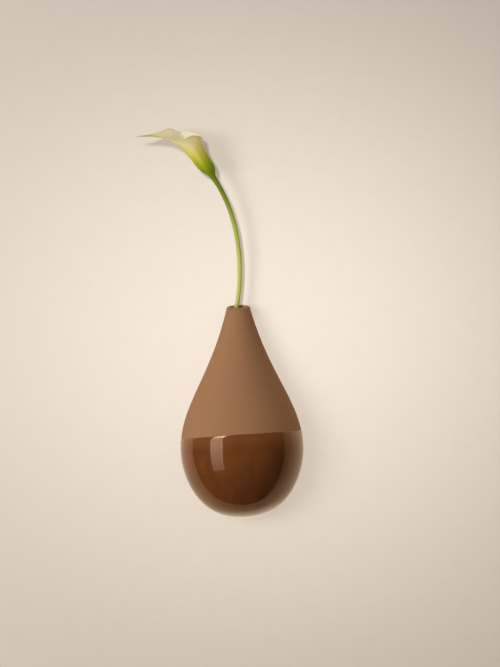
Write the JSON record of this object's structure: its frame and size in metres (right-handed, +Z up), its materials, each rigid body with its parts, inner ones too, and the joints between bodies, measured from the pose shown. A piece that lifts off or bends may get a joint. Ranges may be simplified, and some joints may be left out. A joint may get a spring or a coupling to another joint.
{
  "type": "hanging bud vase",
  "caption": "Flat-backed stoneware bottle vase that hangs on one wall screw by a keyhole, its belly dipped in dark glaze, holding one calla bloom.",
  "frame": {"origin": "on the wall plane, where the screw and its plug enter the wall", "axes": "+Z up; +Y into the wall, along the plug; the vase hangs on the -Y side and +X is to a viewer's right"},
  "size_m": [0.1723, 0.1097, 0.4237],
  "materials": {
    "bare_clay": "matte fired stoneware with fine sand",
    "dark_glaze": "glossy amber to dark brown glaze",
    "inner_glaze": "satin clear glaze over clay",
    "clear_bumper": "clear soft cushion",
    "plug_nylon": "moulded nylon",
    "zinc_screw": "zinc plated",
    "stem_green": "satin plant stem",
    "petal_cream": "soft waxy petal",
    "spadix_yellow": "powdery"
  },
  "bodies": {
    "wall_fixing": {"wall_plug": "plug_nylon", "wall_screw": "zinc_screw"},
    "vase": {"vase_body": "bare_clay", "dip_glaze": "dark_glaze", "liner_glaze": "inner_glaze", "bumper_left": "clear_bumper", "bumper_right": "clear_bumper"},
    "flower": {"flower_stem": "stem_green", "spathe": "petal_cream", "spadix": "spadix_yellow"}
  },
  "joints": [
    {"name": "vase_lift", "type": "slide", "parent": "wall_fixing", "child": "vase", "axis": [0, 0, 1], "range_m": [0, 0.009]},
    {"name": "stem_draw", "type": "slide", "parent": "vase", "child": "flower", "axis": [0.2079, 0, 0.9781], "range_m": [0, 0.215]}
  ]
}
